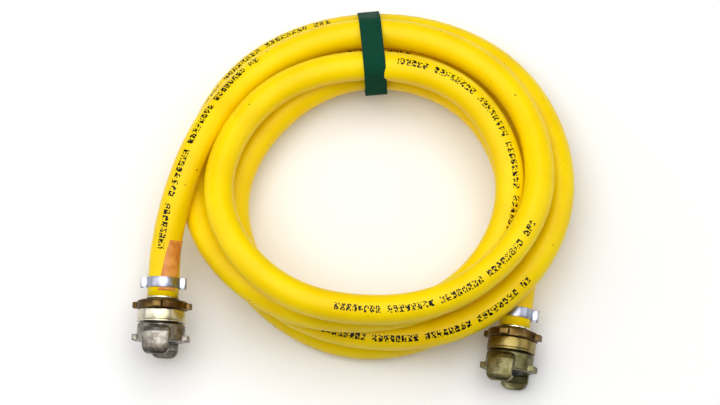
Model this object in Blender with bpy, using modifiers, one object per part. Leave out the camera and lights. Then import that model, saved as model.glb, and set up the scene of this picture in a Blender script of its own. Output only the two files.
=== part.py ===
"""Coiled air hose, DN19, with a claw coupling on each end and a hook-and-loop tie.

The hose lies flat on the ground plane in four and a half loose turns. Each coupling is built from
its separate pieces: clamp, stem, O-ring, lugged lock ring, lock sleeve, claw head, face seal,
washer and snap ring. Metres, +Z up, origin on the ground under the middle of the coil.
"""
import math

import bmesh
import bpy
import numpy as np
from mathutils import Matrix, Vector
from mathutils.geometry import convex_hull_2d

MM = 0.001
GAP = 0.3                        # between pieces that touch, mm

# hose, mm; the faceted tube is a little thinner, so that neighbouring turns stay apart
HOSE_OD = 27.0
FACET_OD = 26.0
HOSE_WALL = 3.6
STEPS_PER_TURN = 24

# moves the middle of the footprint onto the origin and the lowest point onto the ground, mm
SHIFT = (12.9, -10.9, -0.4)

# the coil from the left tail round clockwise, a (radius, height) pair each eighth of a turn, mm
COIL = [
    (171.5, 61.5), (159, 43), (160, 40.5), (165.5, 50), (152.5, 85), (123.5, 94), (107.5, 96), (118.5, 100.5),
    (133, 79), (132, 56), (124, 60.5), (130.5, 69.5), (128, 73), (116.5, 67), (109.5, 68.5), (128, 71.5),
    (155, 40), (169.5, 16.5), (171.5, 16.5), (181.5, 24), (173, 53), (145.5, 55.5), (120.5, 42), (121, 42),
    (121, 36.5), (117, 29), (123, 31.5), (131, 34), (131.5, 46), (131.5, 31), (125.5, 14.5), (125, 15),
    (136.5, 14), (140.5, 14), (143.5, 16.5), (152, 13.5), (157, 18),
]
# the tails from the hose end towards the coil: turn angle in degrees, then the place in mm
LEFT_TAIL = [(-30.0, -184.0, -87.0, 45.5), (-17.0, -182.3, -49.1, 48.2)]
RIGHT_TAIL = [(1662.0, 133.0, -111.5, 27.0), (1648.0, 138.6, -73.9, 27.0)]

# couplings, degrees: heading off -Y, dip of the front end, and roll about their own axis
COUPLINGS = {"left": (2.5, 4.0, 7.0), "right": (8.5, 0.0, 22.0)}

# coupling sizes along its axis from the hose end and across it, mm
BORE_R = 6.2
NECK_R = 9.6
COLLAR_R = 14.6
BARB_R, BARB_ROOT_R, BARB_PITCH, BARB_COUNT = 8.4, 7.7, 8.0, 4
FLANGE_R = 12.6
THREAD_R = 15.0
RING_R, RING_LUG_R, RING_BACK, RING_FRONT = 23.0, 26.8, 3.5, 12.2
RING_LUG_WIDTH, RING_LUG_COUNT = 9.0, 4
SLEEVE_R, SLEEVE_BACK, SLEEVE_FRONT = 22.0, 12.6, 23.6
HEAD_R, HEAD_BACK, FACE_Z = 21.5, 24.8, 41.0
CLAW_R, CLAW_LIP_R, CLAW_GROOVE_R = 26.8, 20.0, 24.2
CLAW_BACK, CLAW_TIP, CLAW_HALF_WIDTH = 26.2, 54.0, 12.0
CAM_R, CAM_HALF_WIDTH = 25.5, 7.0
SEAL_R, SEAL_BORE_R = 14.0, 9.2
TURNED_STEPS = 24

# clamp, tie and sticker, mm
CLAMP_R, CLAMP_WIDTH, CLAMP_THICK, CLAMP_Z = 14.4, 10.0, 0.8, -12.4
EAR_R, EAR_HALF_ANGLE = 19.8, 14.0
TIE_WIDTH, TIE_THICK, TIE_SLACK = 20.0, 1.6, 0.6
TIE_X, TIE_Y, TIE_LEAN = 17.3, 135.4, 5.0
TIE_LOOSE, TIE_LOOSE_Z = 8.0, 46.0    # how far the tape bows out on the inner side, and at what height
STICKER_START, STICKER_END, STICKER_WIDTH = 4.5, 53.5, 17.0
STICKER_R, STICKER_THICK = 13.65, 0.35
STICKER_TURN = (18.0, 43.0)      # degrees off the top of the hose, at the clamp and at the far end

FINISHES = {                     # colour, roughness, metallic
    "hose_pvc": ((0.95, 0.72, 0.01), 0.3, 0.0),
    "tie_fabric": ((0.0, 0.15, 0.09), 0.9, 0.0),
    "sticker_film": ((0.86, 0.36, 0.08), 0.5, 0.0),
    "clamp_zinc": ((0.68, 0.70, 0.76), 0.3, 1.0),
    "stem_zinc": ((0.72, 0.70, 0.62), 0.35, 1.0),
    "ring_zinc": ((0.36, 0.27, 0.12), 0.4, 1.0),
    "sleeve_zinc": ((0.66, 0.58, 0.38), 0.25, 1.0),
    "head_zinc": ((0.52, 0.49, 0.40), 0.5, 1.0),
    "rubber": ((0.02, 0.02, 0.02), 0.7, 0.0),
    "spring_steel": ((0.33, 0.33, 0.35), 0.35, 1.0),
}


# ---- scene helpers

def clear_scene():
    for obj in list(bpy.data.objects):
        bpy.data.objects.remove(obj, do_unlink=True)


def new_collection(name):
    collection = bpy.data.collections.new(name)
    bpy.context.scene.collection.children.link(collection)
    return collection


def new_material(name):
    colour, roughness, metallic = FINISHES[name]
    material = bpy.data.materials.new(name)
    material.use_nodes = True
    shader = material.node_tree.nodes["Principled BSDF"]
    shader.inputs["Base Color"].default_value = (*colour, 1.0)
    shader.inputs["Roughness"].default_value = roughness
    shader.inputs["Metallic"].default_value = metallic
    return material


def add_object(name, data, collection, material=None, parent=None):
    obj = bpy.data.objects.new(name, data)
    collection.objects.link(obj)
    obj.parent = parent
    if material:
        data.materials.append(material)
    return obj


def add_cutter(name, data, collection, parent=None):
    cutter = add_object(name, data, collection, parent=parent)
    cutter.hide_render = True
    cutter.display_type = "WIRE"
    return cutter


def add_boolean(obj, cutter, operation):
    boolean = obj.modifiers.new(cutter.name, "BOOLEAN")
    boolean.operation = operation
    boolean.object = cutter


def add_shell(obj, thickness, offset):
    shell = obj.modifiers.new("wall", "SOLIDIFY")
    shell.thickness = thickness * MM
    shell.offset = offset
    shell.use_even_offset = True


# ---- shape helpers

def turned(name, profile, collection, material=None, parent=None, cutter=False):
    """A ring turned about the local Z axis from a closed (radius, z) profile in mm."""
    mesh = bpy.data.meshes.new(name)
    points = [(r * MM, 0.0, z * MM) for r, z in profile]
    edges = [(i, (i + 1) % len(points)) for i in range(len(points))]
    mesh.from_pydata(points, edges, [])
    make = add_cutter if cutter else add_object
    obj = make(name, mesh, collection, parent=parent)
    if material:
        mesh.materials.append(material)
    screw = obj.modifiers.new("turn", "SCREW")
    screw.steps = TURNED_STEPS
    screw.render_steps = TURNED_STEPS
    screw.use_merge_vertices = True
    screw.merge_threshold = 0.00001
    screw.use_smooth_shade = True
    return obj


def flat_outline(name, points, half_depth, collection, parent):
    """A closed flat outline in mm with the given half depth, as a solid prism along local Z."""
    curve = bpy.data.curves.new(name, "CURVE")
    curve.dimensions = "2D"
    curve.fill_mode = "BOTH"
    curve.extrude = half_depth * MM
    spline = curve.splines.new("POLY")
    spline.points.add(len(points) - 1)
    for point, (x, y) in zip(spline.points, points):
        point.co = (x * MM, y * MM, 0.0, 1.0)
    spline.use_cyclic_u = True
    source = add_object(name + "_outline", curve, collection, parent=parent)
    bpy.context.view_layer.update()
    mesh = bpy.data.meshes.new_from_object(source.evaluated_get(bpy.context.evaluated_depsgraph_get()))
    bpy.data.objects.remove(source, do_unlink=True)
    shape = bmesh.new()
    shape.from_mesh(mesh)
    bmesh.ops.remove_doubles(shape, verts=shape.verts, dist=0.000001)
    shape.to_mesh(mesh)
    shape.free()
    return mesh


def ribbon(name, points, half_width, collection, material, parent=None):
    """An endless band through points in mm in the local XY plane, as wide as twice half_width."""
    curve = bpy.data.curves.new(name, "CURVE")
    curve.dimensions = "2D"
    curve.fill_mode = "NONE"
    curve.extrude = half_width * MM
    spline = curve.splines.new("POLY")
    spline.points.add(len(points) - 1)
    for point, (x, y) in zip(spline.points, points):
        point.co = (x * MM, y * MM, 0.0, 1.0)
    spline.use_cyclic_u = True
    return add_object(name, curve, collection, material, parent)


def round_sharp_edges(collection, angle=math.radians(35)):
    for obj in collection.objects:
        if obj.type == "MESH":
            obj.data.shade_smooth()
            obj.data.set_sharp_from_angle(angle=angle)


# ---- route of the hose

def natural_spline(times, points, samples):
    """The natural cubic spline through the points, read at the sample times."""
    count = len(times)
    step = np.diff(times)
    slope = np.diff(points, axis=0) / step[:, None]
    system = np.eye(count)
    right = np.zeros(points.shape)
    for i in range(1, count - 1):
        system[i, i - 1:i + 2] = step[i - 1], 2 * (step[i - 1] + step[i]), step[i]
        right[i] = 6 * (slope[i] - slope[i - 1])
    bend = np.linalg.solve(system, right)
    i = np.clip(np.searchsorted(times, samples, side="right") - 1, 0, count - 2)
    after = (samples - times[i])[:, None]
    before = (times[i + 1] - samples)[:, None]
    h = step[i][:, None]
    cubic = (bend[i] * before ** 3 + bend[i + 1] * after ** 3) / (6 * h)
    near = (points[i] / h - bend[i] * h / 6) * before
    far = (points[i + 1] / h - bend[i + 1] * h / 6) * after
    return cubic + near + far


def route_points(angles):
    """Points of the hose's centre line in mm at these turn angles, in degrees."""
    turns = [(45.0 * i, radius, height) for i, (radius, height) in enumerate(COIL)]
    coil = [(turn, -radius * math.cos(math.radians(turn)), radius * math.sin(math.radians(turn)), height)
            for turn, radius, height in turns]
    stations = np.array(LEFT_TAIL + coil + RIGHT_TAIL[::-1])
    return natural_spline(stations[:, 0], stations[:, 1:] + SHIFT, np.asarray(angles, float))


def hose_angles():
    """Turn angles of the hose's cross-sections: the straight ends over the stems stay one piece."""
    left_end, left_bend = LEFT_TAIL[0][0], LEFT_TAIL[1][0]
    right_end, right_bend = RIGHT_TAIL[0][0], RIGHT_TAIL[1][0]
    coil_end = 45.0 * (len(COIL) - 1)
    coil = list(np.arange(0.0, coil_end + 0.1, 360.0 / STEPS_PER_TURN))
    return [left_end, left_bend, left_bend / 2] + coil + [(coil_end + right_bend) / 2, right_bend, right_end]


# ---- the hose and what is on it

def build_hose(collection):
    curve = bpy.data.curves.new("hose", "CURVE")
    curve.dimensions = "3D"
    curve.bevel_depth = FACET_OD / 2 * MM
    curve.bevel_resolution = 4
    curve.use_fill_caps = False
    curve.twist_mode = "MINIMUM"
    spline = curve.splines.new("POLY")
    points = route_points(hose_angles())
    spline.points.add(len(points) - 1)
    for point, place in zip(spline.points, points):
        point.co = (*(place * MM), 1.0)
    hose = add_object("hose", curve, collection, new_material("hose_pvc"))
    add_shell(hose, HOSE_WALL, -1.0)


def tie_crossings():
    """Where the turns cross the tie, at its middle and both edges: distance outwards and height in mm."""
    lean = math.radians(TIE_LEAN)
    outwards = np.array((-math.sin(lean), math.cos(lean)))
    across = np.array((math.cos(lean), math.sin(lean)))
    crossings = []
    turn_count = int((45 * (len(COIL) - 1)) // 360) + 1
    for turn in range(turn_count):
        places = route_points(np.arange(75.0, 105.0, 0.25) + 360 * turn)
        from_tie = places[:, :2] - (TIE_X, TIE_Y)
        for edge in (-TIE_WIDTH / 2, 0.0, TIE_WIDTH / 2):
            nearest = np.argmin(np.abs(from_tie @ across - edge))
            crossings.append((from_tie[nearest] @ outwards, places[nearest, 2]))
    return crossings


def build_tie(collection):
    reach = HOSE_OD / 2 + TIE_SLACK
    circle = [(math.cos(math.tau * k / 24), math.sin(math.tau * k / 24)) for k in range(24)]
    crossings = tie_crossings()
    rolls = [(out, height, reach) for out, height in crossings]
    rolls.append((min(out for out, _ in crossings) - reach, TIE_LOOSE_Z, TIE_LOOSE))
    cloud = [Vector((out + size * dx, height + size * dy)) for out, height, size in rolls for dx, dy in circle]
    loop = [cloud[i] for i in convex_hull_2d(cloud)]
    tie = ribbon("tie_strap", loop, TIE_WIDTH / 2, collection, new_material("tie_fabric"))
    lean = math.radians(TIE_LEAN)
    outwards = Vector((-math.sin(lean), math.cos(lean), 0.0))
    up = Vector((0.0, 0.0, 1.0))
    tie.matrix_world = Matrix.Translation((TIE_X * MM, TIE_Y * MM, 0.0)) \
        @ Matrix((outwards, up, outwards.cross(up))).transposed().to_4x4()
    add_shell(tie, TIE_THICK, 1.0)


def build_sticker(collection):
    """A film label bent round the left tail, partly under the clamp."""
    steps_along, steps_round = 8, 6
    shape = bmesh.new()
    bmesh.ops.create_grid(shape, x_segments=steps_along, y_segments=steps_round, size=0.5)
    bends = route_points(hose_angles()[:5])
    shares = np.linspace(0.0, 4.0, 201)
    line = np.stack([np.interp(shares, range(5), bends[:, axis]) for axis in range(3)], axis=1)
    walked = np.concatenate(([0.0], np.cumsum(np.linalg.norm(np.diff(line, axis=0), axis=1))))
    for vert in shape.verts:
        along = vert.co.x + 0.5
        distance = STICKER_START + along * (STICKER_END - STICKER_START)
        i = int(np.searchsorted(walked, distance))
        tangent = Vector(line[i + 1] - line[i - 1]).normalized()
        side = tangent.cross(Vector((0.0, 0.0, 1.0))).normalized()
        up = side.cross(tangent)
        turn = math.radians(STICKER_TURN[0] + along * (STICKER_TURN[1] - STICKER_TURN[0]))
        turn += vert.co.y * STICKER_WIDTH / STICKER_R
        vert.co = (Vector(line[i]) + STICKER_R * (math.cos(turn) * up + math.sin(turn) * side)) * MM
    mesh = bpy.data.meshes.new("label_sticker")
    shape.to_mesh(mesh)
    shape.free()
    sticker = add_object("label_sticker", mesh, collection, new_material("sticker_film"))
    add_shell(sticker, STICKER_THICK, 1.0)


# ---- one coupling

def coupling_empty(side, collection):
    """An empty at the hose end whose Z axis runs out along the coupling and whose Y axis is up."""
    heading, dip, _ = COUPLINGS[side]
    tail = LEFT_TAIL if side == "left" else RIGHT_TAIL
    empty = bpy.data.objects.new(side + "_coupling", None)
    collection.objects.link(empty)
    empty.location = (Vector(tail[0][1:]) + Vector(SHIFT)) * MM
    empty.rotation_euler = (math.radians(90 + dip), 0.0, math.radians(-heading))
    return empty


def rolled(obj, side):
    obj.rotation_euler = (0.0, 0.0, math.radians(COUPLINGS[side][2]))
    return obj


def build_clamp(side, collection, parent, material):
    """A two-ear clamp: one endless band that steps out into an ear on each side."""
    loop = []
    for ear_turn in (0.0, 180.0):
        ear = [(CLAMP_R, -EAR_HALF_ANGLE - 6), (EAR_R - 1.5, -EAR_HALF_ANGLE), (EAR_R, -EAR_HALF_ANGLE + 4),
               (EAR_R, EAR_HALF_ANGLE - 4), (EAR_R - 1.5, EAR_HALF_ANGLE), (CLAMP_R, EAR_HALF_ANGLE + 6)]
        band = [(CLAMP_R, turn) for turn in range(32, 150, 12)]
        for radius, turn in ear + band:
            angle = math.radians(ear_turn + turn)
            loop.append((radius * math.cos(angle), radius * math.sin(angle)))
    clamp = ribbon(side + "_hose_clamp", loop, CLAMP_WIDTH / 2, collection, material, parent)
    clamp.location = (0.0, 0.0, CLAMP_Z * MM)
    add_shell(clamp, CLAMP_THICK, 1.0)


def build_stem(side, collection, parent, material):
    """Barbed stem with a safety collar, an O-ring groove and the flange that the head turns on."""
    barbs = []
    for k in range(BARB_COUNT):
        top = -4.0 - BARB_PITCH * k
        barbs += [(BARB_ROOT_R, top), (BARB_R, top - 0.6), (BARB_ROOT_R, top - BARB_PITCH + 0.5)]
    outer = [(NECK_R - 0.4, 34.0), (NECK_R - 0.4, 29.3), (FLANGE_R, 29.1), (FLANGE_R, 26.4), (NECK_R, 26.2),
             (NECK_R, 16.0), (NECK_R - 2, 15.9), (NECK_R - 2, 12.9), (NECK_R, 12.8), (NECK_R, 3.2),
             (COLLAR_R, 3.0), (COLLAR_R, GAP), (BARB_ROOT_R, GAP)]
    end = barbs[-1][1] - 0.8
    profile = outer + barbs + [(BORE_R, end), (BORE_R, 34.0)]
    turned(side + "_hose_stem", profile, collection, material, parent)


def build_o_ring(side, collection, parent, material):
    centre_r, section_r, centre_z = 8.9, 0.8, 14.4
    turns = [math.tau * k / 8 for k in range(8)]
    profile = [(centre_r + section_r * math.sin(turn), centre_z + section_r * math.cos(turn)) for turn in turns]
    turned(side + "_o_ring", profile, collection, material, parent)


def build_lock_ring(side, collection, cutters, parent, material):
    """The threaded ring that is turned by its lugs to push the sleeve forward."""
    inner = THREAD_R + 0.4
    profile = [(RING_R - 1, RING_FRONT), (RING_R, RING_FRONT - 1), (RING_R, RING_BACK + 1.5),
               (RING_R - 3, RING_BACK), (inner, RING_BACK), (inner, RING_FRONT)]
    ring = rolled(turned(side + "_lock_ring", profile, collection, material, parent), side)
    lugs = bmesh.new()
    length = RING_LUG_R - RING_R + 3.0
    for k in range(RING_LUG_COUNT):
        middle = Vector((RING_LUG_R - length / 2, 0.0, (RING_FRONT + RING_BACK) / 2 + 0.6))
        place = Matrix.Rotation(math.tau * k / RING_LUG_COUNT, 4, "Z") @ Matrix.Translation(middle * MM)
        size = Matrix.Diagonal((length * MM, RING_LUG_WIDTH * MM, 6.0 * MM, 1.0))
        bmesh.ops.create_cube(lugs, size=1.0, matrix=place @ size)
    mesh = bpy.data.meshes.new(side + "_lugs")
    lugs.to_mesh(mesh)
    lugs.free()
    cutter = rolled(add_cutter(side + "_lugs", mesh, cutters, parent), side)
    add_boolean(ring, cutter, "UNION")


def build_sleeve(side, collection, parent, material):
    inner = THREAD_R + 0.4
    profile = [(SLEEVE_R - 0.8, SLEEVE_FRONT), (SLEEVE_R, SLEEVE_FRONT - 0.8), (SLEEVE_R, SLEEVE_BACK + 0.6),
               (SLEEVE_R - 0.6, SLEEVE_BACK), (inner, SLEEVE_BACK), (inner, SLEEVE_FRONT)]
    turned(side + "_lock_sleeve", profile, collection, material, parent)


def claw_outline():
    """Seen from outside, a claw is a rounded tongue: x across, y along the coupling's axis."""
    front, back = CLAW_TIP + 0.4, CLAW_BACK
    dome, heel = 8.0, 5.0
    points = []
    for k in range(9):
        angle = math.pi * k / 8
        points.append((CLAW_HALF_WIDTH * math.cos(angle), front - dome + dome * math.sin(angle)))
    for k in range(7):
        angle = math.pi + math.pi * k / 6
        points.append((CLAW_HALF_WIDTH * math.cos(angle), back + heel + heel * math.sin(angle)))
    return points


def build_head(side, collection, cutters, parent, material):
    """Claw head: a turned body with two hooked claws and two cams, all on one casting."""
    seat_r, cavity_r = SEAL_R + 0.4, 13.3
    body = [(HEAD_R - 1, FACE_Z), (HEAD_R, FACE_Z - 1), (HEAD_R, HEAD_BACK + 1), (HEAD_R - 1, HEAD_BACK),
            (THREAD_R, HEAD_BACK), (THREAD_R, 4.0), (NECK_R + 0.4, 4.0), (NECK_R + 0.4, 25.9), (cavity_r, 25.9),
            (cavity_r, 30.3), (cavity_r + 1, 30.3), (cavity_r + 1, 32.1), (cavity_r, 32.1), (cavity_r, 36.4),
            (seat_r, 36.4), (seat_r, FACE_Z)]
    head = rolled(turned(side + "_claw_head", body, collection, material, parent), side)
    claw_profile = [(CLAW_R - 3.5, CLAW_TIP), (CLAW_R - 1, CLAW_TIP - 1.5), (CLAW_R, CLAW_TIP - 4.5),
                    (CLAW_R, 38.0), (CLAW_R - 1.6, 32.0), (HEAD_R + 0.3, CLAW_BACK + 0.4), (17.0, CLAW_BACK + 0.4),
                    (17.0, FACE_Z - 0.5), (CLAW_GROOVE_R, FACE_Z - 0.5), (CLAW_GROOVE_R, 47.5),
                    (CLAW_LIP_R, 47.5), (CLAW_LIP_R, CLAW_TIP)]
    cam_profile = [(CAM_R, FACE_Z - 0.3), (CAM_R, 37.2), (HEAD_R + 0.5, 33.5), (17.0, 33.5), (17.0, FACE_Z - 0.3)]
    claws = rolled(turned(side + "_claw_hoop", claw_profile, cutters, parent=parent, cutter=True), side)
    cams = rolled(turned(side + "_cam_hoop", cam_profile, cutters, parent=parent, cutter=True), side)

    tongue_mesh = flat_outline(side + "_tongue", claw_outline(), 30.0, cutters, parent)
    tongue = add_cutter(side + "_tongue", tongue_mesh, cutters, parent)
    tongue.rotation_euler = (math.radians(90), 0.0, math.radians(COUPLINGS[side][2]))
    w = CAM_HALF_WIDTH
    cam_outline = [(w, FACE_Z + 1), (-w, FACE_Z + 1), (-w, 36.5), (-w + 3, 32.5), (w - 3, 32.5), (w, 36.5)]
    window_mesh = flat_outline(side + "_window", cam_outline, 30.0, cutters, parent)
    window = add_cutter(side + "_window", window_mesh, cutters, parent)
    window.rotation_euler = (math.radians(90), 0.0, math.radians(COUPLINGS[side][2] + 90))
    add_boolean(claws, tongue, "INTERSECT")
    add_boolean(cams, window, "INTERSECT")
    add_boolean(head, claws, "UNION")
    add_boolean(head, cams, "UNION")


def build_inner_rings(side, collection, cutters, parent, materials):
    """The rubber face seal, the thrust washer and the snap ring that hold the stem in the head."""
    seal = [(SEAL_R - 1.2, FACE_Z + 1.2), (SEAL_R, FACE_Z), (SEAL_R, 36.8), (SEAL_BORE_R, 36.8),
            (SEAL_BORE_R, FACE_Z + 0.6), (SEAL_BORE_R + 0.8, FACE_Z + 1.2)]
    turned(side + "_face_seal", seal, collection, materials["rubber"], parent)
    washer = [(13.0, 30.1), (13.0, 29.5), (10.2, 29.5), (10.2, 30.1)]
    turned(side + "_thrust_washer", washer, collection, materials["stem_zinc"], parent)
    snap = [(14.0, 31.7), (14.0, 30.6), (11.2, 30.6), (11.2, 31.7)]
    ring = turned(side + "_snap_ring", snap, collection, materials["spring_steel"], parent)
    mesh = bpy.data.meshes.new(side + "_snap_gap")
    slot = bmesh.new()
    place = Matrix.Translation(Vector((12.0, 0.0, 31.2)) * MM) @ Matrix.Diagonal((8 * MM, 5 * MM, 3 * MM, 1.0))
    bmesh.ops.create_cube(slot, size=1.0, matrix=place)
    slot.to_mesh(mesh)
    slot.free()
    add_boolean(ring, add_cutter(side + "_snap_gap", mesh, cutters, parent), "DIFFERENCE")


def build_coupling(side, collection, cutters, materials):
    empty = coupling_empty(side, collection)
    build_clamp(side, collection, empty, materials["clamp_zinc"])
    build_stem(side, collection, empty, materials["stem_zinc"])
    build_o_ring(side, collection, empty, materials["rubber"])
    build_lock_ring(side, collection, cutters, empty, materials["ring_zinc"])
    build_sleeve(side, collection, empty, materials["sleeve_zinc"])
    build_head(side, collection, cutters, empty, materials["head_zinc"])
    build_inner_rings(side, collection, cutters, empty, materials)


def main():
    clear_scene()
    parts = new_collection("coiled_air_hose")
    cutters = new_collection("cutters")
    names = ("clamp_zinc", "stem_zinc", "ring_zinc", "sleeve_zinc", "head_zinc", "rubber", "spring_steel")
    materials = {name: new_material(name) for name in names}
    build_hose(parts)
    build_tie(parts)
    build_sticker(parts)
    for side in COUPLINGS:
        build_coupling(side, parts, cutters, materials)
    round_sharp_edges(parts)


main()
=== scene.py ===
# Rolled 3/4 inch PVC hose with a claw coupling on each end, laid out on white.
# Lengths are millimetres unless a name or a note says otherwise.
import math

import bmesh
import bpy
import numpy as np
from mathutils import Matrix, Vector
from mathutils.geometry import convex_hull_2d


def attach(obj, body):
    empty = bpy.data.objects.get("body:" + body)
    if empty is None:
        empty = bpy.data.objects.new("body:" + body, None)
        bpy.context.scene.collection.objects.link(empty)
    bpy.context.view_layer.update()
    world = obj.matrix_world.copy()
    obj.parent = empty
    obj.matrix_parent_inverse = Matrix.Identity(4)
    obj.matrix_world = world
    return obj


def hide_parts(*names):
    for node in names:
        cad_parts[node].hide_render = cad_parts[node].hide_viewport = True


mm = 0.001
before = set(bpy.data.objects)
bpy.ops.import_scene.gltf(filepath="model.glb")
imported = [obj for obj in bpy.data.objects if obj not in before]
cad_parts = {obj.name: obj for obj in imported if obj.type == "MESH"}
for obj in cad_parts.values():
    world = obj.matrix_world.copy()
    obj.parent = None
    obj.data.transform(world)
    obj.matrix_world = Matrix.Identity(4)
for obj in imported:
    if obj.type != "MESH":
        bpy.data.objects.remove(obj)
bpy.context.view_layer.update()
shift = (12.9, -10.9, -0.4)  # same as the CAD: puts the footprint's middle on the origin


# the camera looks nearly straight down on the roll
camera = {
    "place": (0.0063, -0.5287, 2.4747),  # metres
    "target": (0.0063, -0.0078, 0.0296),
    "lens": 137.0,
    "sensor": 36.0,
    "nearest": 0.05,
}


def addCamera(spec):
    data = bpy.data.cameras.new("camera")
    data.lens = spec["lens"]
    data.sensor_width = spec["sensor"]
    data.clip_start = spec["nearest"]
    obj = bpy.data.objects.new("camera", data)
    bpy.context.scene.collection.objects.link(obj)
    obj.location = spec["place"]
    aim = Vector(spec["target"]) - Vector(spec["place"])
    obj.rotation_euler = aim.to_track_quat("-Z", "Y").to_euler()
    bpy.context.scene.camera = obj
    bpy.context.scene.view_settings.view_transform = "Standard"  # keeps the hose's yellow as it is mixed


addCamera(camera)
print("camera set")


def hexColour(code):
    # sRGB hex to the linear colour that the shaders use
    parts = [int(code[i:i + 2], 16) / 255 for i in (1, 3, 5)]
    return (*[c / 12.92 if c <= 0.04045 else ((c + 0.055) / 1.055) ** 2.4 for c in parts], 1.0)


def newMaterial(name, constants):
    # constants are what is the same all over the surface
    material = bpy.data.materials.new(name)
    material.use_nodes = True
    tree = material.node_tree
    shader = tree.nodes["Principled BSDF"]
    for socket, value in constants.items():
        shader.inputs[socket].default_value = value
    return material, tree, shader


def addNode(tree, kind, settings=None, links=None, stops=()):
    # settings are the node's own properties or its sockets' values, links are what feeds each socket,
    # and stops are a colour ramp's places and sRGB colours
    node = tree.nodes.new(kind)
    for key, value in (settings or {}).items():
        if isinstance(key, str) and hasattr(node, key):
            setattr(node, key, value)
        else:
            node.inputs[key].default_value = value
    for key, source in (links or {}).items():
        tree.links.new(source, node.inputs[key])
    for i, (place, code) in enumerate(stops):
        elements = node.color_ramp.elements
        element = elements[i] if i < 2 else elements.new(1.0)
        element.position = place
        element.color = hexColour(code)
    return node


def addPiece(name, mesh, material, body, node):
    obj = bpy.data.objects.new(name, mesh)
    bpy.context.scene.collection.objects.link(obj)
    mesh.materials.clear()
    mesh.materials.append(material)
    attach(obj, body)
    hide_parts(node)
    return obj


def meshFrom(name, bm, smoothAngle):
    bmesh.ops.recalc_face_normals(bm, faces=bm.faces)
    mesh = bpy.data.meshes.new(name)
    bm.to_mesh(mesh)
    bm.free()
    mesh.shade_smooth()
    mesh.set_sharp_from_angle(angle=math.radians(smoothAngle))
    return mesh


def spinProfile(profile, steps=96):
    # a closed (radius, z) outline in millimetres, turned about the local Z axis
    bm = bmesh.new()
    verts = [bm.verts.new((radius * mm, 0, z * mm)) for radius, z in profile]
    edges = [bm.edges.new((a, b)) for a, b in zip(verts, verts[1:] + verts[:1])]
    bmesh.ops.spin(bm, geom=verts + edges, cent=(0, 0, 0), axis=(0, 0, 1), dvec=(0, 0, 0),
                   angle=math.tau, steps=steps, use_merge=True, use_duplicate=False)
    bmesh.ops.remove_doubles(bm, verts=bm.verts, dist=0.000002)
    bmesh.ops.recalc_face_normals(bm, faces=bm.faces)
    return bm


def roundedProfile(profile, radius, arcSteps=2):
    # every corner of an outline rounded off, as a lathe tool or a casting leaves it
    points = []
    count = len(profile)
    for i in range(count):
        corner = Vector(profile[i])
        before, after = Vector(profile[i - 1]) - corner, Vector(profile[(i + 1) % count]) - corner
        reach = min(radius, before.length * 0.45, after.length * 0.45)
        start, end = corner + before.normalized() * reach, corner + after.normalized() * reach
        for k in range(arcSteps + 1):
            t = k / arcSteps
            point = start * (1 - t) ** 2 + corner * 2 * t * (1 - t) + end * t ** 2
            points.append((point.x, point.y))
    return points


# the hose's route from the left tail round clockwise
route = {
    "coil": [  # (radius, height) each eighth of a turn
        (171.5, 61.5), (159, 43), (160, 40.5), (165.5, 50), (152.5, 85), (123.5, 94), (107.5, 96),
        (118.5, 100.5), (133, 79), (132, 56), (124, 60.5), (130.5, 69.5), (128, 73), (116.5, 67),
        (109.5, 68.5), (128, 71.5), (155, 40), (169.5, 16.5), (171.5, 16.5), (181.5, 24), (173, 53),
        (145.5, 55.5), (120.5, 42), (121, 42), (121, 36.5), (117, 29), (123, 31.5), (131, 34), (131.5, 46),
        (131.5, 31), (125.5, 14.5), (125, 15), (136.5, 14), (140.5, 14), (143.5, 16.5), (152, 13.5),
        (157, 18),
    ],
    "coilStep": 45.0,  # degrees
    "leftTail": [(-30.0, -184.0, -87.0, 45.5), (-17.0, -182.3, -49.1, 48.2)],  # turn angle, place
    "rightTail": [(1662.0, 133.0, -111.5, 27.0), (1648.0, 138.6, -73.9, 27.0)],
    "stepDegrees": 4.5,
}


def splineThrough(times, points, samples):
    # natural cubic spline, the shape a springy hose takes between its supports
    count = len(times)
    step = np.diff(times)
    slope = np.diff(points, axis=0) / step[:, None]
    system, right = np.eye(count), np.zeros(points.shape)
    for i in range(1, count - 1):
        system[i, i - 1:i + 2] = step[i - 1], 2 * (step[i - 1] + step[i]), step[i]
        right[i] = 6 * (slope[i] - slope[i - 1])
    bend = np.linalg.solve(system, right)
    i = np.clip(np.searchsorted(times, samples, side="right") - 1, 0, count - 2)
    after, before = (samples - times[i])[:, None], (times[i + 1] - samples)[:, None]
    h = step[i][:, None]
    cubic = (bend[i] * before ** 3 + bend[i + 1] * after ** 3) / (6 * h)
    near, far = points[i] / h - bend[i] * h / 6, points[i + 1] / h - bend[i + 1] * h / 6
    return cubic + near * before + far * after


def routePoints(angles):
    coil = []
    for i, (radius, height) in enumerate(route["coil"]):
        turn = math.radians(route["coilStep"] * i)
        coil.append((route["coilStep"] * i, -radius * math.cos(turn), radius * math.sin(turn), height))
    stations = np.array(route["leftTail"] + coil + route["rightTail"][::-1])
    return splineThrough(stations[:, 0], stations[:, 1:] + shift, np.asarray(angles, float))


def straightened(angles, points):
    # the ends over the stems are straight
    for end, bend in (route["leftTail"], route["rightTail"]):
        first, last = (routePoints([stop[0]])[0] for stop in (end, bend))
        low, high = sorted((end[0], bend[0]))
        for i, angle in enumerate(angles):
            if low <= angle <= high:
                points[i] = first + (last - first) * (angle - end[0]) / (bend[0] - end[0])
    return points


def hoseLine():
    first, last = route["leftTail"][0][0], route["rightTail"][0][0]
    angles = np.linspace(first, last, int((last - first) / route["stepDegrees"]) + 1)
    points = straightened(angles, routePoints(angles))
    walked = np.concatenate(([0.0], np.cumsum(np.linalg.norm(np.diff(points, axis=0), axis=1))))
    return points, walked


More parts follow.
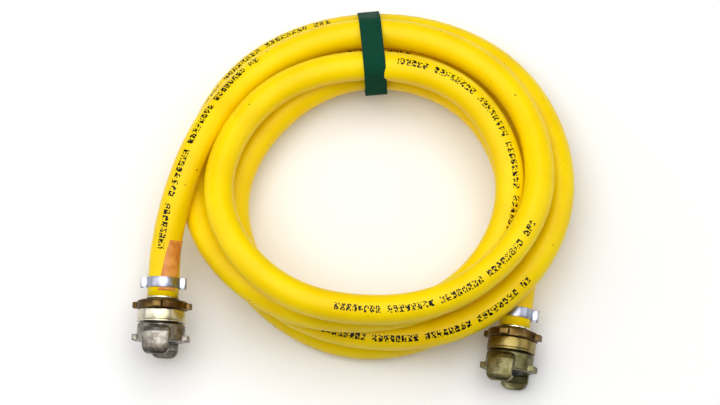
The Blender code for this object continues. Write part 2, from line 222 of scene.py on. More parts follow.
def frameAlong(points):
    # the level side and the upward direction at each point
    tangents = np.gradient(points, axis=0)
    tangents /= np.linalg.norm(tangents, axis=1)[:, None]
    sides = np.cross(tangents, (0, 0, 1))
    sides /= np.linalg.norm(sides, axis=1)[:, None]
    return sides, np.cross(sides, tangents)


hose = {
    "diameter": 27.0,
    "wall": 4.0,
    "bevelResolution": 12,   # 28 faces round
    "swellLength": 30.8,     # the stretch that is pushed over the barbed stem
    "swellFade": 22.0,
    "swell": 0.045,          # how much wider it is there, as a share
    "colour": "#F9D800",
    "deepColour": "#F4CE00",
    "ink": "#1A1608",
    "grit": "#6E5200",
    "dyePatch": 45.5,        # about 5% of uneven colour, this far apart
    "gritSpacing": 3.846,
    "skinRipple": 11.1,
    "printPeriod": 600.0,
    "printLength": 205.0,
    "printStart": 38.0,      # from the left end
    "printHeight": 6.4,
    "printTurn": [(0, 12), (140, 24), (243, 36), (640, 16), (860, 4), (1250, 12), (1460, 26), (1850, 40),
                  (2060, 40), (2450, 24), (2660, 20), (4400, 0)],  # distance, degrees outwards from the top
    "strokeWidth": 1.05,     # every mark is made of cells of this size
    "strokeHeight": 1.155,
    "blankCells": 0.4,       # share of the cells
    "markCells": (5.0, 3.5),     # from one mark to the next, and the last cell that may hold ink
    "groupCells": (45.0, 4.5),   # from one gap between groups to the next, and how long it lasts
}


def hoseMaterial(spec):
    # plasticised PVC: dyed through, so even in colour, with a skin that takes a long soft gloss
    material, tree, shader = newMaterial("glossyYellowPvc", {"IOR": 1.53, "Specular IOR Level": 0.14})
    place = addNode(tree, "ShaderNodeTexCoord").outputs["Object"]
    patch = addNode(tree, "ShaderNodeTexNoise", {"Scale": 1 / (spec["dyePatch"] * mm), "Detail": 3.0},
                    {"Vector": place})
    dye = addNode(tree, "ShaderNodeValToRGB", links={"Fac": patch.outputs["Fac"]},
                  stops=[(0.35, spec["deepColour"]), (0.6, spec["colour"])])
    # pinhead specks of grit pressed into the skin
    grit = addNode(tree, "ShaderNodeTexNoise", {"Scale": 1 / (spec["gritSpacing"] * mm), "Detail": 1.0},
                   {"Vector": place})
    specks = addNode(tree, "ShaderNodeMapRange", {"From Min": 0.80, "From Max": 0.82},
                     {"Value": grit.outputs["Fac"]})
    dirty = addNode(tree, "ShaderNodeMixRGB", {"Color2": hexColour(spec["grit"])},
                    {"Fac": specks.outputs["Result"], "Color1": dye.outputs["Color"]})

    # the printed line: marks of random cells that spell nothing, on the UV map that follows the hose
    uv = addNode(tree, "ShaderNodeUVMap", {"uv_map": "print"}).outputs["UV"]
    split = addNode(tree, "ShaderNodeSeparateXYZ", links={"Vector": uv})
    along, across = split.outputs["X"], split.outputs["Y"]
    cells = []
    for source, size in ((along, spec["strokeWidth"]), (across, spec["strokeHeight"])):
        count = addNode(tree, "ShaderNodeMath", {"operation": "DIVIDE", 1: size * mm}, {0: source})
        whole = addNode(tree, "ShaderNodeMath", {"operation": "FLOOR"}, {0: count.outputs["Value"]})
        cells.append(whole.outputs["Value"])
    column, row = cells
    cell = addNode(tree, "ShaderNodeCombineXYZ", links={"X": column, "Y": row})
    chance = addNode(tree, "ShaderNodeTexWhiteNoise", {"noise_dimensions": "2D"},
                     {"Vector": cell.outputs["Vector"]})
    markCells, groupCells = spec["markCells"], spec["groupCells"]
    rules = [  # where there is ink: a sum on a source, and what the result has to pass
        (chance.outputs["Value"], "ABSOLUTE", 0.0, "GREATER_THAN", spec["blankCells"]),
        (column, "FLOORED_MODULO", markCells[0], "LESS_THAN", markCells[1]),
        (column, "FLOORED_MODULO", groupCells[0], "GREATER_THAN", groupCells[1]),
        (across, "ABSOLUTE", 0.0, "LESS_THAN", spec["printHeight"] / 2 * mm),
        (along, "FLOORED_MODULO", spec["printPeriod"] * mm, "LESS_THAN", spec["printLength"] * mm),
    ]
    ink = None
    for source, operation, value, test, limit in rules:
        result = addNode(tree, "ShaderNodeMath", {"operation": operation, 1: value}, {0: source})
        passed = addNode(tree, "ShaderNodeMath", {"operation": test, 1: limit}, {0: result.outputs["Value"]})
        if ink:
            passed = addNode(tree, "ShaderNodeMath", {"operation": "MULTIPLY"},
                             {0: ink.outputs["Value"], 1: passed.outputs["Value"]})
        ink = passed
    inked = addNode(tree, "ShaderNodeMixRGB", {"Color2": hexColour(spec["ink"])},
                    {"Fac": ink.outputs["Value"], "Color1": dirty.outputs["Color"]})
    tree.links.new(inked.outputs["Color"], shader.inputs["Base Color"])

    skin = addNode(tree, "ShaderNodeTexNoise", {"Scale": 1 / (spec["skinRipple"] * mm), "Detail": 4.0},
                   {"Vector": place})
    rough = addNode(tree, "ShaderNodeMapRange", {"To Min": 0.3, "To Max": 0.45},
                    {"Value": skin.outputs["Fac"]})
    tree.links.new(rough.outputs["Result"], shader.inputs["Roughness"])
    bump = addNode(tree, "ShaderNodeBump", {"Strength": 0.06, "Distance": 0.4 * mm},
                   {"Height": skin.outputs["Fac"]})
    tree.links.new(bump.outputs["Normal"], shader.inputs["Normal"])
    return material


def buildHose(spec):
    points, walked = hoseLine()
    total = walked[-1]
    curve = bpy.data.curves.new("hoseLine", "CURVE")
    curve.dimensions = "3D"
    curve.bevel_depth = spec["diameter"] / 2 * mm
    curve.bevel_resolution = spec["bevelResolution"]
    curve.use_fill_caps = False
    spline = curve.splines.new("POLY")
    spline.points.add(len(points) - 1)
    for point, place, distance in zip(spline.points, points, walked):
        point.co = (*(place * mm), 1.0)
        past = min(distance, total - distance) - spec["swellLength"]
        point.radius = 1 + spec["swell"] * (1 - min(1.0, max(0.0, past / spec["swellFade"])))
    source = bpy.data.objects.new("hoseLine", curve)
    bpy.context.scene.collection.objects.link(source)
    bpy.context.view_layer.update()
    mesh = bpy.data.meshes.new_from_object(source.evaluated_get(bpy.context.evaluated_depsgraph_get()))
    bpy.data.objects.remove(source, do_unlink=True)

    # UVs: metres along the hose from the first print, and round it from the printed line
    ringSize = len(mesh.vertices) // len(points)
    sides, ups = frameAlong(points)
    turns = np.radians(np.interp(walked, *zip(*spec["printTurn"])))
    coords = np.array([v.co for v in mesh.vertices]).reshape(len(points), ringSize, 3) / mm
    offsets = coords - points[:, None, :]
    angle = np.arctan2((offsets * sides[:, None]).sum(2), (offsets * ups[:, None]).sum(2))
    while mesh.uv_layers:
        mesh.uv_layers.remove(mesh.uv_layers[0])
    layer = mesh.uv_layers.new(name="print")
    for face in mesh.polygons:
        rings = [mesh.loops[k].vertex_index for k in face.loop_indices]
        values = [(r // ringSize, angle[r // ringSize, r % ringSize]) for r in rings]
        first = values[0][1]
        for k, (ring, turn) in zip(face.loop_indices, values):
            turn = first + (turn - first + math.pi) % math.tau - math.pi + turns[ring]
            layer.data[k].uv = ((walked[ring] - spec["printStart"]) * mm, turn * spec["diameter"] / 2 * mm)
    mesh.shade_smooth()
    obj = addPiece("hoseTube", mesh, hoseMaterial(spec), "hose_body", "hose")
    wall = obj.modifiers.new("wall", "SOLIDIFY")
    wall.thickness = spec["wall"] * mm
    wall.offset = -1.0
    wall.use_rim = True
    print("hose", round(total), "mm long, rings of", ringSize)
    return obj, points, total


hoseTube, hosePoints, hoseLength = buildHose(hose)


couplings = {  # degrees off straight forwards, downwards and about their own axis
    "left": {"heading": 2.5, "dip": 4.0, "roll": 7.0, "end": route["leftTail"][0][1:],
             "head": "castHeadLeft", "sleeve": "paleSleeve"},
    "right": {"heading": 8.5, "dip": 0.0, "roll": 22.0, "end": route["rightTail"][0][1:],
              "head": "castHeadRight", "sleeve": "goldSleeve"},
}


def couplingPlace(side, rolled=True):
    spec = couplings[side]
    roll = Matrix.Rotation(math.radians(spec["roll"] if rolled else 0.0), 4, "Z")
    dip = Matrix.Rotation(math.radians(90 + spec["dip"]), 4, "X")
    heading = Matrix.Rotation(math.radians(-spec["heading"]), 4, "Z")
    return Matrix.Translation((Vector(spec["end"]) + Vector(shift)) * mm) @ heading @ dip @ roll


def platedMetal(name, spec):
    # zinc-plated and passivated steel: a thin coloured film over bright metal, uneven where it pooled
    material, tree, shader = newMaterial(name, {"Metallic": 1.0})
    place = addNode(tree, "ShaderNodeTexCoord").outputs["Object"]
    cloud = addNode(tree, "ShaderNodeTexNoise",
                    {"Scale": 1 / (spec["patch"] * mm), "Detail": 5.0, "Roughness": 0.6}, {"Vector": place})
    film = addNode(tree, "ShaderNodeValToRGB", links={"Fac": cloud.outputs["Fac"]},
                   stops=list(zip((0.36, 0.5, 0.64), spec["colours"])))
    tree.links.new(film.outputs["Color"], shader.inputs["Base Color"])
    grain = addNode(tree, "ShaderNodeTexNoise", {"Scale": 1 / (spec["grain"] * mm), "Detail": 3.0},
                    {"Vector": place})
    rough = addNode(tree, "ShaderNodeMapRange", {"To Min": spec["rough"][0], "To Max": spec["rough"][1]},
                    {"Value": grain.outputs["Fac"]})
    tree.links.new(rough.outputs["Result"], shader.inputs["Roughness"])
    bump = addNode(tree, "ShaderNodeBump", {"Strength": spec["bump"], "Distance": 0.5 * mm},
                   {"Height": grain.outputs["Fac"]})
    tree.links.new(bump.outputs["Normal"], shader.inputs["Normal"])
    return material


metals = {  # the size of the blotches and of the grain, which is drawn coarser than real grain, to show
    "clampZinc": {"colours": ("#A3A6B6", "#B4B6C6", "#C2C4D0"), "patch": 16.7, "grain": 1.11,
                  "rough": (0.28, 0.34), "bump": 0.02},
    "turnedZinc": {"colours": ("#A79A78", "#C2B893", "#D6D2BD"), "patch": 22.2, "grain": 1.43,
                   "rough": (0.2, 0.36), "bump": 0.08},
    "passivatedRing": {"colours": ("#3F2D17", "#5E4726", "#8C7342"), "patch": 14.3, "grain": 2.0,
                       "rough": (0.28, 0.5), "bump": 0.2},
    "paleSleeve": {"colours": ("#B8AE8A", "#CFC9B4", "#DEDBCF"), "patch": 33.3, "grain": 1.25,
                   "rough": (0.22, 0.36), "bump": 0.06},
    "goldSleeve": {"colours": ("#604A1E", "#7C672F", "#938452"), "patch": 33.3, "grain": 1.25,
                   "rough": (0.22, 0.36), "bump": 0.06},
    "castHeadLeft": {"colours": ("#655C51", "#878076", "#B0ABA2"), "patch": 12.5, "grain": 2.38,
                     "rough": (0.34, 0.5), "bump": 0.35},
    "castHeadRight": {"colours": ("#514A2A", "#6B6543", "#8A8463"), "patch": 14.3, "grain": 2.38,
                      "rough": (0.3, 0.46), "bump": 0.35},
    "springSteel": {"colours": ("#55565A", "#66676B", "#77787C"), "patch": 20.0, "grain": 1.67,
                    "rough": (0.25, 0.4), "bump": 0.05},
}
finishes = {name: platedMetal(name, spec) for name, spec in metals.items()}


def rubberMaterial():
    # moulded nitrile rubber: matt black with a faint bloom
    material, tree, shader = newMaterial("nitrileRubber", {"Roughness": 0.55})
    place = addNode(tree, "ShaderNodeTexCoord").outputs["Object"]
    bloom = addNode(tree, "ShaderNodeTexNoise", {"Scale": 1 / (6.7 * mm), "Detail": 4.0}, {"Vector": place})
    tone = addNode(tree, "ShaderNodeValToRGB", links={"Fac": bloom.outputs["Fac"]},
                   stops=[(0.4, "#0C0C10"), (0.7, "#26262B")])
    tree.links.new(tone.outputs["Color"], shader.inputs["Base Color"])
    bump = addNode(tree, "ShaderNodeBump", {"Strength": 0.15, "Distance": 0.3 * mm},
                   {"Height": bloom.outputs["Fac"]})
    tree.links.new(bump.outputs["Normal"], shader.inputs["Normal"])
    return material


rubber = rubberMaterial()

turnedPieces = {  # outline as (radius, distance from the hose end), and how far its corners are rounded
    "o_ring": ([(8.9 + 0.8 * math.sin(math.tau * k / 16), 14.4 + 0.8 * math.cos(math.tau * k / 16))
                for k in range(16)], 0.0),
    "lock_sleeve": ([(22.0, 23.6), (22.0, 22.2), (21.6, 22.0), (21.6, 21.6), (22.0, 21.4), (22.0, 12.6),
                     (15.4, 12.6), (15.4, 23.6)], 0.5),
    "face_seal": ([(12.8, 42.2), (14.0, 41.0), (14.0, 36.8), (9.2, 36.8), (9.2, 41.6), (10.0, 42.2)], 0.4),
    "thrust_washer": ([(13.0, 30.1), (13.0, 29.5), (10.2, 29.5), (10.2, 30.1)], 0.15),
}
stem = {"bore": 6.2, "neck": 9.6, "collar": 14.6, "flange": 12.6, "barb": 8.4, "barbRoot": 7.7,
        "barbPitch": 8.0, "barbs": 4, "front": 34.0, "behindBarbs": 0.8}


def stemOutline(spec):
    neck, root = spec["neck"], spec["barbRoot"]
    flange, collar = spec["flange"], spec["collar"]
    outline = [(neck - 0.4, spec["front"]), (neck - 0.4, 29.3), (flange, 29.1), (flange, 26.4),
               (neck, 26.2), (neck, 16.0), (neck - 2, 15.9), (neck - 2, 12.9), (neck, 12.8), (neck, 3.2),
               (collar - 1.2, 3.0), (collar, 1.8), (collar, 0.3), (root, 0.3)]
    for k in range(spec["barbs"]):
        top = -4.0 - spec["barbPitch"] * k
        outline += [(root, top), (spec["barb"], top - 0.6), (root, top - spec["barbPitch"] + 0.5)]
    end = outline[-1][1] - spec["behindBarbs"]
    return outline + [(spec["bore"], end), (spec["bore"], spec["front"])]


def turnedPiece(side, node, outline, radius, finish, body, slot):
    bm = spinProfile(roundedProfile(outline, radius) if radius else outline)
    bm.transform(couplingPlace(side, False))
    mesh = meshFrom(node, bm, 40)
    return addPiece(side + "_" + node + "_fine", mesh, finish, body, side + "_" + node)


# cast, with four lugs for the thumb or a hammer
lockRing = {"outer": 23.0, "inner": 15.4, "back": 3.5, "front": 12.2, "lugRoot": 19.0, "lugReach": 26.8,
            "lugWidth": 9.0, "lugs": 4, "lugThick": 6.0, "lugAhead": 0.6, "lugTaper": 0.12, "voxel": 0.5}


def remeshed(name, bm, place, voxel, smoothing):
    # overlapping closed shapes melted into one casting, with soft inside and outside corners
    mesh = bpy.data.meshes.new(name + "Raw")
    bm.to_mesh(mesh)
    bm.free()
    obj = bpy.data.objects.new(name + "Raw", mesh)
    bpy.context.scene.collection.objects.link(obj)
    melt = obj.modifiers.new("melt", "REMESH")
    melt.mode = "VOXEL"
    melt.voxel_size = voxel * mm
    soften = obj.modifiers.new("soften", "SMOOTH")
    soften.factor = 0.5
    soften.iterations = smoothing
    bpy.context.view_layer.update()
    result = bpy.data.meshes.new_from_object(obj.evaluated_get(bpy.context.evaluated_depsgraph_get()))
    bpy.data.objects.remove(obj, do_unlink=True)
    result.transform(place)
    result.shade_smooth()
    return result


def addBlock(bm, low, high, turn, taper):
    # a block between two corners, turned about the axis, its outer end drawn in by taper
    middle = (Vector(low) + Vector(high)) / 2
    size = Vector(high) - Vector(low)
    made = bmesh.ops.create_cube(bm, size=1.0)["verts"]
    for vert in made:
        if vert.co.x > 0:
            vert.co.y *= 1 - taper
            vert.co.z *= 1 - taper
    place = Matrix.Rotation(turn, 4, "Z") @ Matrix.Translation(middle * mm)
    bmesh.ops.transform(bm, matrix=place @ Matrix.Diagonal((*(size * mm), 1.0)), verts=made)


def buildLockRing(side, spec):
    outline = [(spec["outer"] - 1, spec["front"]), (spec["outer"], spec["front"] - 1),
               (spec["outer"], spec["back"] + 1.5), (spec["outer"] - 3, spec["back"]),
               (spec["inner"], spec["back"]), (spec["inner"], spec["front"])]
    bm = spinProfile(outline, 72)
    middle = (spec["front"] + spec["back"]) / 2 + spec["lugAhead"]
    halfThick, halfWidth = spec["lugThick"] / 2, spec["lugWidth"] / 2
    for k in range(spec["lugs"]):
        low = (spec["lugRoot"], -halfWidth, middle - halfThick)
        high = (spec["lugReach"], halfWidth, middle + halfThick)
        addBlock(bm, low, high, math.tau * k / spec["lugs"], spec["lugTaper"])
    mesh = remeshed(side + "_lock_ring", bm, couplingPlace(side), spec["voxel"], 2)
    return addPiece(side + "_lock_ring_fine", mesh, finishes["passivatedRing"], side + "_ring_body",
                    side + "_lock_ring")


# one malleable casting with two hooked claws and two cams
clawHead = {
    "bodyRadius": 21.5, "back": 24.8, "face": 41.0, "neck": 15.0,
    "clawTip": 54.0, "clawBack": 26.2, "clawHalfWidth": 12.0, "tipLength": 8.5, "heelLength": 5.0,
    "squareness": 0.8,  # 1 makes the claw's end an ellipse, less makes it squarer
    "lipRadius": 20.0, "grooveRadius": 24.2, "lipBack": 47.5,
    "camRoot": 16.5, "camReach": 25.5, "camHalfWidth": 7.0, "camBack": 34.6, "camTaper": 0.1,
    "pipRadius": (2.2, 1.6), "pipHeight": 1.0, "pipPlace": (0.0, 26.6, 40.0),
    "clearance": 0.5, "voxel": 0.5,
}


def clawHoop(spec):
    # the claws' section, as (radius, height), from the tip over the back to the root and in under the lip
    front = spec["face"] - spec["clearance"]
    outer = [(21.6, 54.0), (23.6, 53.2), (25.2, 51.2), (26.3, 48.2), (26.8, 44.0), (26.8, 38.0), (26.2, 33.0),
             (24.4, 29.5), (21.8, 27.0), (17.0, 26.6)]
    return outer + [(17.0, front), (spec["grooveRadius"], front), (spec["grooveRadius"], spec["lipBack"]),
                    (spec["lipRadius"], spec["lipBack"])]


def clawTongue(spec, turn):
    # a rounded shield, seen from outside, deep enough to cut the hoop on one side only
    front, back, half = spec["clawTip"] + spec["clearance"], spec["clawBack"], spec["clawHalfWidth"]
    tip, heel, power = spec["tipLength"], spec["heelLength"], spec["squareness"]
    outline = []
    for k in range(17):
        across, ahead = math.cos(math.pi * k / 16), math.sin(math.pi * k / 16)
        across = math.copysign(abs(across) ** power, across)
        outline.append((half * across, front - tip + tip * ahead ** power))
    for k in range(13):
        angle = math.pi + math.pi * k / 12
        outline.append((half * math.cos(angle), back + heel + heel * math.sin(angle)))
    bm = bmesh.new()
    inside, outside = 12.0, 30.0
    face = bm.faces.new([bm.verts.new((x * mm, inside * mm, z * mm)) for x, z in outline])
    grown = bmesh.ops.extrude_face_region(bm, geom=[face])["geom"]
    moved = [item for item in grown if isinstance(item, bmesh.types.BMVert)]
    bmesh.ops.translate(bm, verts=moved, vec=(0, (outside - inside) * mm, 0))
    bmesh.ops.recalc_face_normals(bm, faces=bm.faces)
    bm.transform(Matrix.Rotation(turn, 4, "Z"))
    return bm


def sharedBy(first, second):
    # what two closed shapes have in common
    objects = []
    for label, bm in (("shape", first), ("cutter", second)):
        mesh = bpy.data.meshes.new(label)
        bm.to_mesh(mesh)
        bm.free()
        obj = bpy.data.objects.new(label, mesh)
        bpy.context.scene.collection.objects.link(obj)
        objects.append(obj)
    cut = objects[0].modifiers.new("cut", "BOOLEAN")
    cut.operation = "INTERSECT"
    cut.object = objects[1]
    bpy.context.view_layer.update()
    mesh = bpy.data.meshes.new_from_object(objects[0].evaluated_get(bpy.context.evaluated_depsgraph_get()))
    for obj in objects:
        bpy.data.objects.remove(obj, do_unlink=True)
    return mesh


def buildHead(side, spec):
    face, back, body = spec["face"], spec["back"], spec["bodyRadius"]
    outline = [(body - 1, face), (body, face - 1), (body, back + 1), (body - 1, back), (spec["neck"], back),
               (spec["neck"], 4.0), (10.0, 4.0), (10.0, 25.9), (13.3, 25.9), (13.3, 30.3), (14.3, 30.3),
               (14.3, 32.1), (13.3, 32.1), (13.3, 36.4), (14.4, 36.4), (14.4, face)]
    bm = spinProfile(outline)
    halfCam, pip = spec["camHalfWidth"], spec["pipRadius"]
    for turn in (0.0, math.pi):
        bm.from_mesh(sharedBy(spinProfile(clawHoop(spec)), clawTongue(spec, turn)))
        addBlock(bm, (spec["camRoot"], -halfCam, spec["camBack"]), (spec["camReach"], halfCam, face - 0.3),
                 math.pi - turn, spec["camTaper"])
        # a raised pip on the claw, left by the mould
        made = bmesh.ops.create_cone(bm, cap_ends=True, segments=24, radius1=pip[0] * mm, radius2=pip[1] * mm,
                                     depth=spec["pipHeight"] * mm)
        place = Matrix.Rotation(turn, 4, "Z") @ Matrix.Translation(Vector(spec["pipPlace"]) * mm)
        bmesh.ops.transform(bm, matrix=place @ Matrix.Rotation(-math.pi / 2, 4, "X"), verts=made["verts"])
    mesh = remeshed(side + "_claw_head", bm, couplingPlace(side), spec["voxel"], 3)
    return addPiece(side + "_claw_head_fine", mesh, finishes[couplings[side]["head"]], side + "_head_body",
                    side + "_claw_head")


# one strip with an ear squeezed up on each side
clamp = {"radius": 14.3, "width": 9.4, "thick": 0.8, "edge": 0.2, "place": -12.4,
         "earReach": 21.0, "earAngle": 15.0}


def clampLoop(spec):
    loop = []
    for start in (0.0, 180.0):
        reach, half = spec["earReach"] - spec["thick"], spec["earAngle"]
        ear = [(spec["radius"], -half - 4), (spec["radius"] + 1.2, -half + 1), (reach - 1.6, -half + 1.5),
               (reach - 0.4, -half + 3.2), (reach, -half + 6), (reach, half - 6), (reach - 0.4, half - 3.2),
               (reach - 1.6, half - 1.5), (spec["radius"] + 1.2, half - 1), (spec["radius"], half + 4)]
        band = [(spec["radius"], turn) for turn in range(24, 157, 6)]
        for radius, turn in ear + band:
            angle = math.radians(start + turn)
            loop.append(Vector((radius * math.cos(angle), radius * math.sin(angle), 0.0)))
    return loop


def buildClamp(side, spec):
    bm = bmesh.new()
    half = spec["width"] / 2
    verts = [bm.verts.new((point + Vector((0, 0, spec["place"] - half))) * mm) for point in clampLoop(spec)]
    edges = [bm.edges.new(pair) for pair in zip(verts, verts[1:] + verts[:1])]
    grown = bmesh.ops.extrude_edge_only(bm, edges=edges)["geom"]
    moved = [item for item in grown if isinstance(item, bmesh.types.BMVert)]
    bmesh.ops.translate(bm, verts=moved, vec=(0, 0, spec["width"] * mm))
    bm.transform(couplingPlace(side, False))
    mesh = meshFrom(side + "_clamp", bm, 50)
    obj = addPiece(side + "_hose_clamp_fine", mesh, finishes["clampZinc"], "hose_body",
                   side + "_hose_clamp")
    strip = obj.modifiers.new("strip", "SOLIDIFY")
    strip.thickness = spec["thick"] * mm
    strip.offset = 1.0
    strip.use_even_offset = True
    soften = obj.modifiers.new("soften", "BEVEL")
    soften.width = spec["edge"] * mm
    soften.segments = 2
    soften.limit_method = "ANGLE"
    return obj


def buildSnapRing(side):
    # a C of flat spring steel, open a little so that it can be sprung out
    bm = bmesh.new()
    corners = [(14.0, 31.7), (14.0, 30.6), (11.2, 30.6), (11.2, 31.7)]
    verts = [bm.verts.new((radius * mm, 0, z * mm)) for radius, z in corners]
    face = bm.faces.new(verts)
    gap = math.radians(12)
    bmesh.ops.rotate(bm, verts=verts, matrix=Matrix.Rotation(gap, 3, "Z"))
    bmesh.ops.spin(bm, geom=[face], cent=(0, 0, 0), axis=(0, 0, 1), angle=math.tau - 2 * gap, steps=64)
    bmesh.ops.recalc_face_normals(bm, faces=bm.faces)
    bm.transform(couplingPlace(side, False))
    mesh = meshFrom(side + "_snap", bm, 40)
    return addPiece(side + "_snap_ring_fine", mesh, finishes["springSteel"], side + "_head_body",
                    side + "_snap_ring")


onHose = []
for side, spec in couplings.items():
    head, sleeve = side + "_head_body", side + "_sleeve_body"
    zinc = finishes["turnedZinc"]
    pieces = [
        turnedPiece(side, "hose_stem", stemOutline(stem), 0.3, zinc, "hose_body", "stem_zinc"),
        turnedPiece(side, "o_ring", *turnedPieces["o_ring"], rubber, "hose_body", "rubber"),
        turnedPiece(side, "lock_sleeve", *turnedPieces["lock_sleeve"], finishes[spec["sleeve"]], sleeve,
                    "sleeve_zinc"),
        turnedPiece(side, "face_seal", *turnedPieces["face_seal"], rubber, head, "rubber"),
        turnedPiece(side, "thrust_washer", *turnedPieces["thrust_washer"], zinc, head, "stem_zinc"),
        buildSnapRing(side),
        buildLockRing(side, lockRing),
        buildHead(side, clawHead),
        buildClamp(side, clamp),
    ]
    if side == "right":
        onHose += pieces
    print(side, "coupling built")


# green hook-and-loop tape round all the turns at the back
tie = {"width": 20.0, "thick": 1.6, "slack": 0.15, "x": 17.3, "y": 135.4, "lean": 5.0,
       "loose": 8.0, "looseHeight": 46.0,  # the tape bows out on the inner side
       "colour": "#044A34", "dark": "#02281C", "rib": 1.777, "fuzz": 0.667, "columns": 6}


def tieLoop(spec):
    lean = math.radians(spec["lean"])
    outwards, across = np.array((-math.sin(lean), math.cos(lean))), np.array((math.cos(lean), math.sin(lean)))
    reach = hose["diameter"] / 2 + spec["slack"]
    rolls = []
    for turn in range(int(route["coilStep"] * (len(route["coil"]) - 1) // 360) + 1):
        places = routePoints(np.arange(75.0, 105.0, 0.25) + 360 * turn)
        fromTie = places[:, :2] - (spec["x"], spec["y"])
        nearest = np.argmin(np.abs(fromTie @ across))
        rolls.append((fromTie[nearest] @ outwards, places[nearest, 2], reach))
    rolls.append((min(roll[0] for roll in rolls) - reach, spec["looseHeight"], spec["loose"]))
    angles = [math.tau * k / 48 for k in range(48)]
    cloud = [Vector((out + size * math.cos(angle), height + size * math.sin(angle)))
             for out, height, size in rolls for angle in angles]
    hull = [cloud[i] for i in convex_hull_2d(cloud)]
    loop = []
    for a, b in zip(hull, hull[1:] + hull[:1]):  # long free spans get points of their own
        pieces = max(1, int((b - a).length / 2.5))
        loop += [a.lerp(b, k / pieces) for k in range(pieces)]
    return loop, outwards


def tieMaterial(spec):
    # brushed nylon loop tape: matt, ribbed across by its weave, fuzzy where light grazes it; its ribs are
    # drawn twice as coarse as real ones, to show
    material, tree, shader = newMaterial("nylonLoopTape", {"Roughness": 0.9, "Specular IOR Level": 0.15,
                                                           "Sheen Weight": 0.04, "Sheen Roughness": 0.4})
    uv = addNode(tree, "ShaderNodeUVMap", {"uv_map": "tape"}).outputs["UV"]
    ribs = addNode(tree, "ShaderNodeTexWave", {"Scale": math.tau / 20 / (spec["rib"] * mm), "Distortion": 2.0,
                                               "Detail": 2.0}, {"Vector": uv})
    fuzz = addNode(tree, "ShaderNodeTexNoise", {"Scale": 1 / (spec["fuzz"] * mm), "Detail": 4.0},
                   {"Vector": uv})
    mixed = addNode(tree, "ShaderNodeMath", {"operation": "MULTIPLY_ADD", 1: 0.5},
                    {0: ribs.outputs["Fac"], 2: fuzz.outputs["Fac"]})
    yarn = addNode(tree, "ShaderNodeValToRGB", links={"Fac": mixed.outputs["Value"]},
                   stops=[(0.35, spec["dark"]), (0.95, spec["colour"])])
    tree.links.new(yarn.outputs["Color"], shader.inputs["Base Color"])
    bump = addNode(tree, "ShaderNodeBump", {"Strength": 0.5, "Distance": 0.6 * mm},
                   {"Height": mixed.outputs["Value"]})
    tree.links.new(bump.outputs["Normal"], shader.inputs["Normal"])
    return material


def buildTie(spec):
    loop, outwards = tieLoop(spec)
    walked = [0.0]
    for a, b in zip(loop, loop[1:] + loop[:1]):
        walked.append(walked[-1] + (b - a).length * mm)
    count, columns, width = len(loop), spec["columns"], spec["width"] * mm
    bm = bmesh.new()
    bmesh.ops.create_grid(bm, x_segments=count, y_segments=columns, size=0.5)
    layer = bm.loops.layers.uv.new("tape")
    for face in bm.faces:
        for corner in face.loops:
            share = corner.vert.co + Vector((0.5, 0.5, 0.0))
            corner[layer].uv = (walked[round(share.x * count)], share.y * width)
    for vert in bm.verts:
        point = loop[round((vert.co.x + 0.5) * count) % count]
        vert.co = (point.x * mm, point.y * mm, vert.co.y * width)
    bmesh.ops.remove_doubles(bm, verts=bm.verts, dist=0.000001)
    out, up = Vector((*outwards, 0.0)), Vector((0.0, 0.0, 1.0))
    bm.transform(Matrix.Translation((spec["x"] * mm, spec["y"] * mm, 0.0))
                 @ Matrix((out, up, out.cross(up))).transposed().to_4x4())
    mesh = bpy.data.meshes.new("tie")
    bm.to_mesh(mesh)
    bm.free()
    mesh.shade_smooth()
    obj = addPiece("tieTape", mesh, tieMaterial(spec), "hose_body", "tie_strap")
    tape = obj.modifiers.new("tape", "SOLIDIFY")
    tape.thickness = spec["thick"] * mm
    tape.offset = 1.0
    print("tie", round(walked[-1] / mm), "mm round")
    return obj, walked[-1]


tieTape, tieLength = buildTie(tie)


# a plain orange film sticker on the left tail, partly under the clamp
sticker = {"start": 4.5, "end": 53.5, "width": 17.0, "radius": 14.15, "thick": 0.2,
           "turn": (18.0, 50.0),  # degrees off the top of the hose, at the clamp and at the far end
           "colour": "#E39A42", "deep": "#CF7425"}


def stickerMaterial(spec):
    # printed polyester film: even orange, slightly rubbed
    material, tree, shader = newMaterial("orangeFilm", {"Roughness": 0.42})
    place = addNode(tree, "ShaderNodeTexCoord").outputs["Object"]
    rub = addNode(tree, "ShaderNodeTexNoise", {"Scale": 1 / (8.33 * mm), "Detail": 4.0}, {"Vector": place})
    tone = addNode(tree, "ShaderNodeValToRGB", links={"Fac": rub.outputs["Fac"]},
                   stops=[(0.35, spec["deep"]), (0.6, spec["colour"])])
    tree.links.new(tone.outputs["Color"], shader.inputs["Base Color"])
    return material


def buildSticker(spec):
    bm = bmesh.new()
    bmesh.ops.create_grid(bm, x_segments=24, y_segments=16, size=0.5)
    points, walked = hoseLine()
    sides, ups = frameAlong(points)
    for vert in bm.verts:
        along = vert.co.x + 0.5
        distance = spec["start"] + along * (spec["end"] - spec["start"])
        centre, side, up = (np.array([np.interp(distance, walked, values[:, axis]) for axis in range(3)])
                            for values in (points, sides, ups))
        turn = math.radians(spec["turn"][0] + along * (spec["turn"][1] - spec["turn"][0]))
        turn += vert.co.y * spec["width"] / spec["radius"]
        vert.co = Vector(centre + spec["radius"] * (math.cos(turn) * up + math.sin(turn) * side)) * mm
    mesh = bpy.data.meshes.new("sticker")
    bm.to_mesh(mesh)
    bm.free()
    mesh.shade_smooth()
    obj = addPiece("labelFilm", mesh, stickerMaterial(spec), "hose_body", "label_sticker")
    film = obj.modifiers.new("film", "SOLIDIFY")
    film.thickness = spec["thick"] * mm
    film.offset = 1.0
    return obj


buildSticker(sticker)
print("label built")


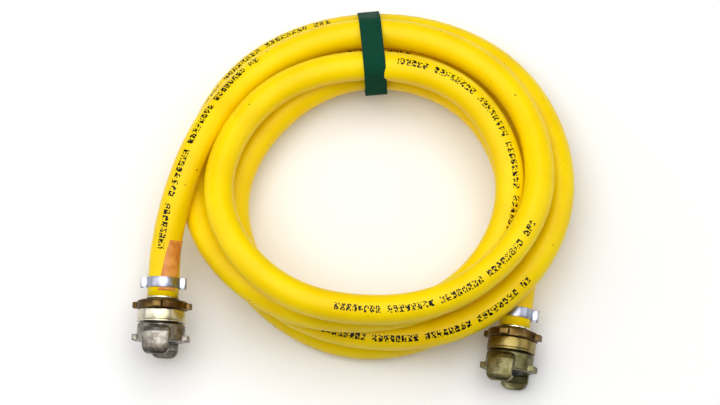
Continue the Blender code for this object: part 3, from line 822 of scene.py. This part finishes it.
# white paper, a wide soft light overhead and two low ones that catch the hose's sides
studio = {
    "floor": "#F7F7F7",
    "floorHalf": 6.0,       # metres
    "floorHeight": -0.0009,
    # dark studio walls below a soft white top
    "sky": [(0.0, "#0E0E10"), (0.55, "#1E1E22"), (0.75, "#D8D8D8"), (1.0, "#FFFFFF")],
    "skyStrength": 0.45,
    "lights": [  # place and size in metres, watts
        {"name": "overhead", "place": (-0.2, 0.3, 2.0), "size": 2.4, "power": 45.0},
        {"name": "leftSide", "place": (-1.5, 0.1, 0.8), "size": 1.1, "power": 6.0},
        {"name": "rightSide", "place": (1.5, 0.1, 0.8), "size": 1.1, "power": 6.0},
    ],
}


def buildStudio(spec):
    bm = bmesh.new()
    bmesh.ops.create_grid(bm, x_segments=1, y_segments=1, size=spec["floorHalf"])
    mesh = bpy.data.meshes.new("floor")
    bm.to_mesh(mesh)
    bm.free()
    material = newMaterial("whitePaper", {"Base Color": hexColour(spec["floor"]), "Roughness": 0.9,
                                          "Specular IOR Level": 0.1})[0]
    floor = bpy.data.objects.new("floor", mesh)
    mesh.materials.append(material)
    bpy.context.scene.collection.objects.link(floor)
    floor.location.z = spec["floorHeight"]
    world = bpy.data.worlds.new("softWhite")
    bpy.context.scene.world = world
    world.use_nodes = True
    tree = world.node_tree
    background = tree.nodes["Background"]
    direction = addNode(tree, "ShaderNodeTexCoord").outputs["Generated"]
    height = addNode(tree, "ShaderNodeSeparateXYZ", links={"Vector": direction}).outputs["Z"]
    sky = addNode(tree, "ShaderNodeValToRGB", links={"Fac": height}, stops=spec["sky"])
    tree.links.new(sky.outputs["Color"], background.inputs["Color"])
    background.inputs["Strength"].default_value = spec["skyStrength"]
    for light in spec["lights"]:
        data = bpy.data.lights.new(light["name"], "AREA")
        data.shape = "SQUARE"
        data.size = light["size"]
        data.energy = light["power"]
        lamp = bpy.data.objects.new(light["name"], data)
        bpy.context.scene.collection.objects.link(lamp)
        lamp.location = light["place"]
        lamp.rotation_euler = (-Vector(light["place"])).to_track_quat("-Z", "Y").to_euler()


buildStudio(studio)
print("studio lit")


print("done")
